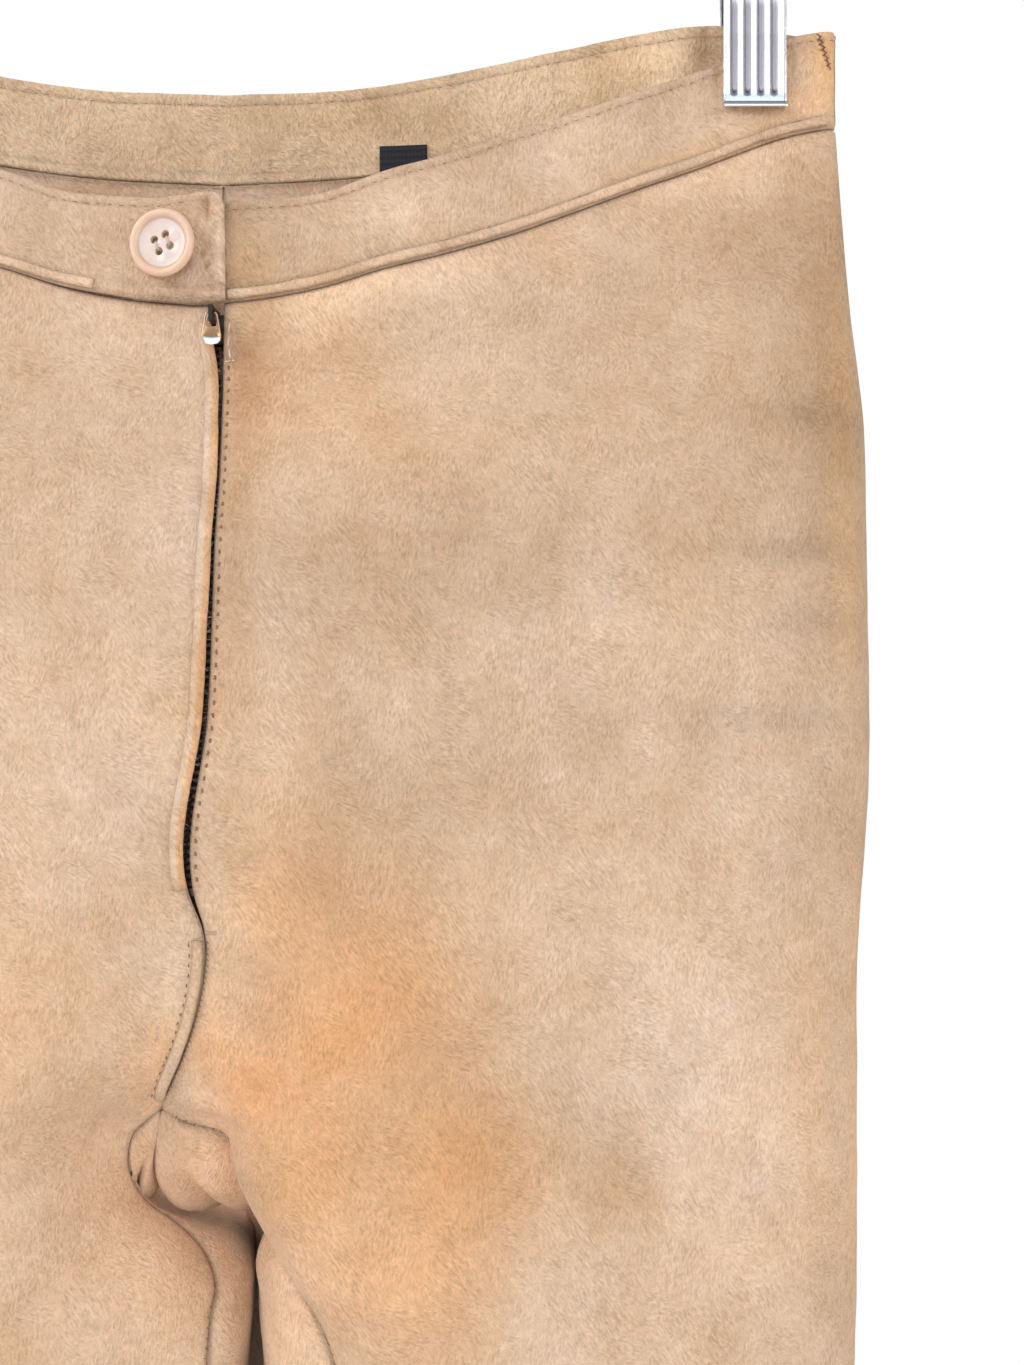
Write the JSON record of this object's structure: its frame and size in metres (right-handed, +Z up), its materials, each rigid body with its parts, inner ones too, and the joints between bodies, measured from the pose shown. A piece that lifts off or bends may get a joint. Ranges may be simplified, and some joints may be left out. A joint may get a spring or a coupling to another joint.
{
  "type": "suede trousers on clip hanger",
  "caption": "Straight suede trousers hung flat by the waist from a clip hanger, open zip fly, buttoned waistband and empty legs.",
  "frame": {"origin": "inside top of the hanger's hook, where a rail would touch it", "axes": "+Z up along the hanging garment, front towards -Y, wearer's left at +X"},
  "size_m": [0.4348, 0.1044, 1.2039],
  "materials": {
    "suede_tan": "napped suede, matt",
    "suede_rough": "rough flesh side, matt",
    "zip_tape_brown": "woven, matt",
    "zip_metal": "silvery, slightly worn",
    "button_peach": "glossy, cloudy",
    "label_black": "ribbed weave",
    "clip_chrome": "bright plated",
    "hanger_steel": "plated wire"
  },
  "bodies": {
    "trousers": {"front_left": "suede_tan", "front_right": "suede_tan", "back_left": "suede_tan", "back_right": "suede_tan", "band_front_left": "suede_tan", "band_front_right": "suede_tan", "band_back_left": "suede_tan", "band_back_right": "suede_tan", "band_back_facing": "suede_rough", "welt_front_left": "suede_tan", "welt_front_right": "suede_tan", "welt_back": "suede_tan", "fly_fold": "suede_tan", "crotch_welt": "suede_tan", "zip_tape": "zip_tape_brown", "zip_chain": "zip_metal", "zip_stop": "zip_metal", "zip_slider": "zip_metal", "button": "button_peach", "label_loop": "label_black", "clip_front_left": "clip_chrome", "clip_back_left": "clip_chrome", "clip_front_right": "clip_chrome", "clip_back_right": "clip_chrome", "clip_spring_left": "hanger_steel", "clip_spring_right": "hanger_steel", "hanger_bar": "hanger_steel", "hanger_hook": "hanger_steel"},
    "zip_pull": {"zip_pull": "zip_metal"}
  },
  "joints": [
    {"name": "zip_pull_swing", "type": "hinge", "parent": "trousers", "child": "zip_pull", "pos_m": [0.0076, -0.0314, -0.1988], "axis": [-1, 0, 0], "range_deg": [0, 80]}
  ]
}
